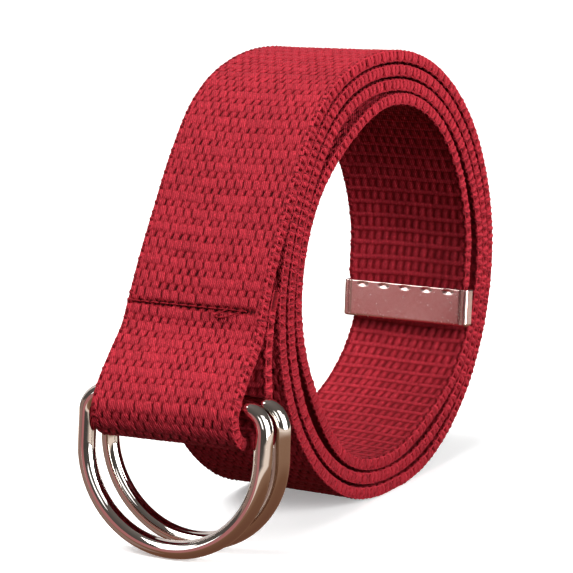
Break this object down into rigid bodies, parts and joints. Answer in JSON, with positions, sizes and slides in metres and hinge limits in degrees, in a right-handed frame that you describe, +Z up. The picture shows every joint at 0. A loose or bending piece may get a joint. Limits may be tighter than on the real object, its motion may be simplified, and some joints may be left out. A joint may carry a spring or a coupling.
{
  "type": "rolled web belt with double D-ring buckle",
  "caption": "Woven cotton web belt, rolled up and stood on its edge, with D-rings in a sewn loop at the outer end and a crimped metal tip on the inner end.",
  "frame": {"origin": "on the floor that the rolled belt stands on, under the middle of its bounding box and in the middle of the webbing's width", "axes": "+X across the webbing, along the roll's axis; -Y to the front, where the sewn loop and its D-rings hang; +Z up"},
  "size_m": [0.0525, 0.1474, 0.1168],
  "materials": {
    "webbing": "woven crimson cotton, chunky plain weave with corded selvedges",
    "ring_metal": "polished nickel plate",
    "tip_metal": "bright stamped nickel plate with crimp dents"
  },
  "bodies": {
    "belt": {"strap": "webbing", "end_tip": "tip_metal"},
    "front_ring": {"d_ring_front": "ring_metal"},
    "back_ring": {"d_ring_back": "ring_metal"}
  },
  "joints": [
    {"name": "front_ring_swing", "type": "hinge", "parent": "belt", "child": "front_ring", "pos_m": [-0.0004, -0.06505, 0.03795], "axis": [-0.996, -0.0871, 0.0192], "range_deg": [0, 180]},
    {"name": "back_ring_swing", "type": "hinge", "parent": "belt", "child": "back_ring", "pos_m": [0.0009, -0.0587, 0.0381], "axis": [0.9987, 0.0436, -0.0262], "range_deg": [0, 40]}
  ]
}
